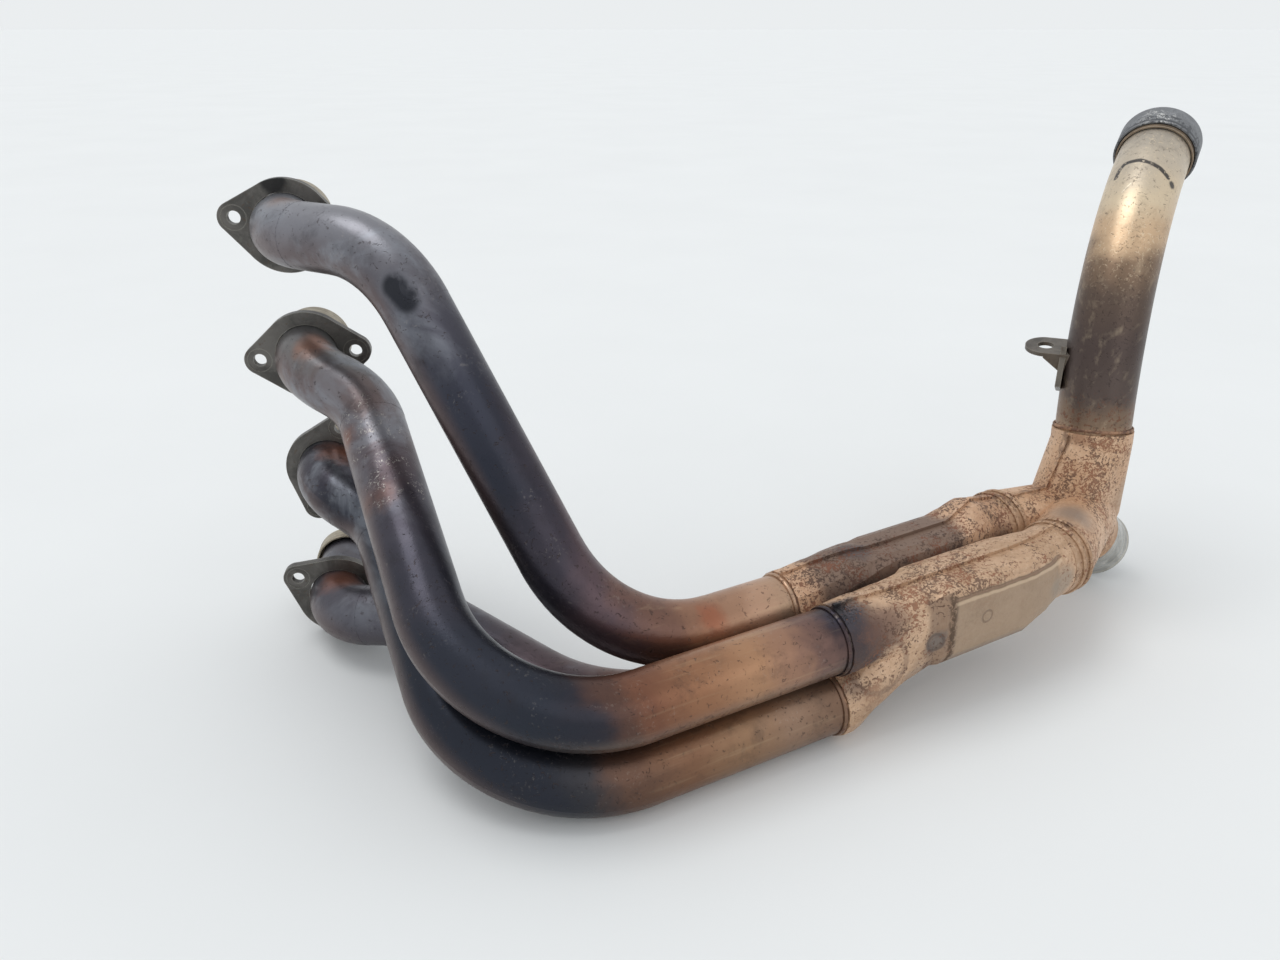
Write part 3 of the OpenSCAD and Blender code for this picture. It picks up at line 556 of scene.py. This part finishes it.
def ringed_finish(name, base, dark, ring_scale, metallic, rough_low, course, spots):
    """Turned or rolled steel with fine rings along its axis, stains and pale worn edges."""
    f = Finish(name, metallic)
    lines = f.add("TexNoise", {"noise_dimensions": "1D"}, W=f.along(course), Scale=ring_scale, Detail=2.0)
    rings = lines.outputs["Fac"]
    stain = f.noise(70, 5, 0.65, 0.5)
    colour = f.mix(f.step(stain, 0.35, 0.7), base, dark)
    colour = f.mix(f.math("MULTIPLY", f.step(rings, 0.45, 0.7), 0.4), colour, "d8cdb8")
    colour = f.mix(f.math("MULTIPLY", f.specks(380, 0.05, 0.5, 1.2, 0.2), spots), colour, "4a3a30")
    rounded = f.add("Bevel", None, Radius=0.0008).outputs["Normal"]
    edge = f.vector("DOT_PRODUCT", rounded, f.add("NewGeometry").outputs["Normal"])
    colour = f.mix(f.math("MULTIPLY", f.step(edge, 0.97, 0.82), 0.5), colour, "cfc8ba")
    rough = f.math("ADD", f.math("MULTIPLY", stain, 0.3), rough_low, True)
    height = f.math("ADD", f.math("MULTIPLY", rings, 0.4), f.math("MULTIPLY", stain, 0.3))
    return f.finish(colour, rough, height, 0.0003)


# The way the ports point: a turn seen from above, then the tilt of the header as it lies
PORT_TURN = math.radians(97)
PORT_AXIS = LAY @ Matrix.Rotation(-RUN_DIR, 3, "Z") @ Vector((math.cos(PORT_TURN), math.sin(PORT_TURN), 0))
FLANGE = cast_finish("flange_steel", "65625e", "484643", "a9a69c")
STAIN_AT = Vector((-0.3289, 0.0096, 0.3304))
FLANGE_STAINED = cast_finish("flange_1_steel", "65625e", "484643", "a9a69c", STAIN_AT)
COLLAR = ringed_finish("collar_steel", "a39a86", "7f7565", 900, 0.55, 0.3, PORT_AXIS, 0.3)
CUP = ringed_finish("cup_steel", "b9b9b6", "8c8c89", 600, 0.75, 0.16, run_course(0.776, 0.137, -0.6157), 0.2)
SLEEVE = ringed_finish("sleeve_steel", "94806a", "6e5b4b", 800, 0.5, 0.35, OUTLET_COURSE, 0.4)
BRACKET = cast_finish("bracket_steel", "6e675e", "504b45", "9d9385")


def graphite_finish():
    """The matt grey gasket, with a dark groove, chips and a torn pale spot."""
    f = Finish("gasket_graphite", 0.1)
    cloud = f.noise(60, 5, 0.6, 0.4)
    colour = f.mix(f.step(cloud, 0.35, 0.7), "6f7174", "828487")
    mesh = f.noise(600, 2, 0.5, 0.0, f.stretched(OUTLET_COURSE, 0.5))
    colour = f.mix(f.math("MULTIPLY", f.step(mesh, 0.5, 0.7), 0.3), colour, "4a4c50")
    torn = f.near(TORN_AT, 0.02, 0.7, 0.01)
    scuff = f.math("MULTIPLY", f.step(f.noise(260, 4, 0.7, 1.5), 0.52, 0.58), torn)
    colour = f.mix(f.math("MULTIPLY", scuff, 0.9), colour, "d0d0cd")
    down = f.along(OUTLET_COURSE, OUTLET_END)
    groove = f.within(down, -0.0205, -0.0185, 0.0008)
    chipped = f.step(f.noise(330, 3, 0.6, 0.8), 0.5, 0.57)
    chipped = f.math("MULTIPLY", chipped, f.within(down, -0.022, -0.013, 0.003))
    colour = f.mix(f.math("MULTIPLY", f.math("MAXIMUM", groove, chipped), 0.75), colour, "303236")
    rough = f.math("ADD", f.math("MULTIPLY", cloud, 0.2), 0.5, True)
    return f.finish(colour, rough, f.math("ADD", mesh, cloud), 0.0003)


FINISH_OF["upper_outlet_pipe"] = outlet_finish()
FINISH_OF["upper_outlet_end"] = FINISH_OF["upper_outlet_pipe"]
FINISH_OF["outlet_sleeve"] = SLEEVE
FINISH_OF["outlet_gasket"] = graphite_finish()
FINISH_OF["lower_outlet_cup"] = CUP
FINISH_OF["hanger_bracket"] = BRACKET
for number in (1, 2, 3, 4):
    FINISH_OF[f"port_flange_{number}"] = FLANGE_STAINED if number == 1 else FLANGE
    FINISH_OF[f"port_collar_{number}"] = COLLAR

for name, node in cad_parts.items():
    node.data.materials.clear()
    node.data.materials.append(FINISH_OF[name])


def weld_material():
    """Brown weld scale, burnt dark by the second pipe's mouth."""
    f = Finish("weld_scale", 0.3)
    cloud = f.noise(120, 4, 0.65, 0.5)
    colour = f.mix(f.step(cloud, 0.4, 0.62), "a17c60", "674a3c")
    burnt = f.near(run_point(234, -12, 60), 0.036, 0.5, 0.008, 90)
    colour = f.mix(f.math("MULTIPLY", burnt, 0.9), colour, "2e2a2d")
    rough = f.math("ADD", f.math("MULTIPLY", cloud, 0.3), 0.4, True)
    return f.finish(colour, rough, f.noise(500, 4, 0.7), 0.0005)


WELD = weld_material()


# Points of a weld ring's mesh along one drop, and round its section
DROP_STEPS = 6
SECTION_STEPS = 8


def weld_ring(name, centre, course, radius, thick, drops, body="header"):
    """A rippled ring of overlapping weld drops round an axis, laid over the plain joint."""
    z = course.normalized()
    x = z.orthogonal().normalized()
    y = z.cross(x)
    around, across = drops * DROP_STEPS, SECTION_STEPS
    points = []
    faces = []
    for i in range(around):
        turn = 2 * math.pi * i / around
        phase = (i % DROP_STEPS) / DROP_STEPS
        swell = 0.78 + 0.22 * math.sin(math.pi * phase) + 0.08 * math.sin(turn * 7 + radius * 900)
        drift = 0.12 * thick * math.sin(turn * 3 + radius * 400)
        out = x * math.cos(turn) + y * math.sin(turn)
        for j in range(across):
            a = 2 * math.pi * j / across
            rise = radius + math.cos(a) * thick * 0.55 * swell
            points.append(centre + out * rise + z * (math.sin(a) * thick * swell + drift))
    for i in range(around):
        for j in range(across):
            k, nj = (i + 1) % around, (j + 1) % across
            faces.append((i * across + j, k * across + j, k * across + nj, i * across + nj))
    mesh = bpy.data.meshes.new(name)
    mesh.from_pydata([tuple(p) for p in points], [], faces)
    for face in mesh.polygons:
        face.use_smooth = True
    mesh.materials.append(WELD)
    ring = bpy.data.objects.new(name, mesh)
    bpy.context.collection.objects.link(ring)
    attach(ring, body)


# The collectors' mouths in the run frame, in millimetres: two rows, two pipes above each other in each
ROW_PITCH = 50
RUN_PITCH = 46
INNER_MOUTH = 235
OUTER_MOUTH = 232
BEAD_BACK = 1.4
for name, spot in (
    ("weld_mouth_1", (OUTER_MOUTH - BEAD_BACK, ROW_PITCH, RUN_PITCH)),
    ("weld_mouth_2", (INNER_MOUTH - BEAD_BACK, 0, RUN_PITCH)),
    ("weld_mouth_3", (INNER_MOUTH - BEAD_BACK, 0, 0)),
    ("weld_mouth_4", (OUTER_MOUTH - BEAD_BACK, ROW_PITCH, 0)),
):
    weld_ring(name, run_point(*spot), ALONG, PIPE_R + 0.0006, 0.0018, 26)
OUTLET_FOOT = run_point(528.0, 59.4, 110.2)
FOOT_COURSE = run_course(0.13, 0.14, 0.98)
weld_ring("weld_outlet_foot", OUTLET_FOOT, FOOT_COURSE, OUTLET_R + 0.0011, 0.0016, 34)

# Floor, soft studio light and the photograph's camera
FLOOR_REACH = 40.0
FLOOR_BELOW = 0.0003
floor_mesh = bpy.data.meshes.new("studio_floor")
floor_corners = [(x * FLOOR_REACH, y * FLOOR_REACH, 0) for x, y in ((-1, -1), (1, -1), (1, 1), (-1, 1))]
floor_mesh.from_pydata(floor_corners, [], [(0, 1, 2, 3)])
floor = bpy.data.objects.new("studio_floor", floor_mesh)
floor.location.z = -FLOOR_BELOW
bpy.context.collection.objects.link(floor)
floor_finish = Finish("floor_paint", 0.0)
floor_finish.shader.inputs["Specular IOR Level"].default_value = 0.2
floor_mesh.materials.append(
    floor_finish.finish(
        floor_finish.mix(floor_finish.noise(3, 4), "e3e5e5", "e9ebeb"),
        floor_finish.math("ADD", floor_finish.math("MULTIPLY", floor_finish.noise(8, 3), 0.2), 0.6),
    )
)


AIR_COLOUR = (0.93, 0.95, 0.97, 1)
AIR_STRENGTH = 0.84
BACKDROP_COLOUR = (0.83, 0.855, 0.868, 1)


def soft_world():
    """Even pale light from all round, and a backdrop that looks as the far floor does."""
    world = bpy.data.worlds.new("studio_air")
    world.use_nodes = True
    tree = world.node_tree
    light = tree.nodes["Background"]
    light.inputs["Color"].default_value = AIR_COLOUR
    light.inputs["Strength"].default_value = AIR_STRENGTH
    backdrop = tree.nodes.new("ShaderNodeBackground")
    backdrop.inputs["Color"].default_value = BACKDROP_COLOUR
    seen = tree.nodes.new("ShaderNodeLightPath")
    either = tree.nodes.new("ShaderNodeMixShader")
    tree.links.new(seen.outputs["Is Camera Ray"], either.inputs[0])
    tree.links.new(light.outputs[0], either.inputs[1])
    tree.links.new(backdrop.outputs[0], either.inputs[2])
    tree.links.new(either.outputs[0], tree.nodes["World Output"].inputs["Surface"])
    return world


bpy.context.scene.world = soft_world()


def soft_sun(name, course, spread, strength):
    """A wide soft lamp that shines along a direction. spread is in degrees."""
    lamp = bpy.data.lights.new(name, "SUN")
    lamp.angle = math.radians(spread)
    lamp.energy = strength
    holder = bpy.data.objects.new(name, lamp)
    holder.rotation_euler = Vector(course).to_track_quat("-Z", "Y").to_euler()
    bpy.context.collection.objects.link(holder)


soft_sun("light_above", (0.3, -0.1, -1), 34, 0.75)
soft_sun("light_front", (-0.5, 0.8, -0.7), 50, 0.3)

camera_data = bpy.data.cameras.new("photo_camera")
camera_data.sensor_width = 36.0
camera_data.lens = 28.81
camera_data.clip_start = 0.01
camera_data.clip_end = 100.0
camera = bpy.data.objects.new("photo_camera", camera_data)
camera.location = (-0.08973, -0.67707, 0.42788)
camera.rotation_euler = (math.radians(65.65), 0, 0)
bpy.context.collection.objects.link(camera)
bpy.context.scene.camera = camera
bpy.context.scene.view_settings.view_transform = "Standard"
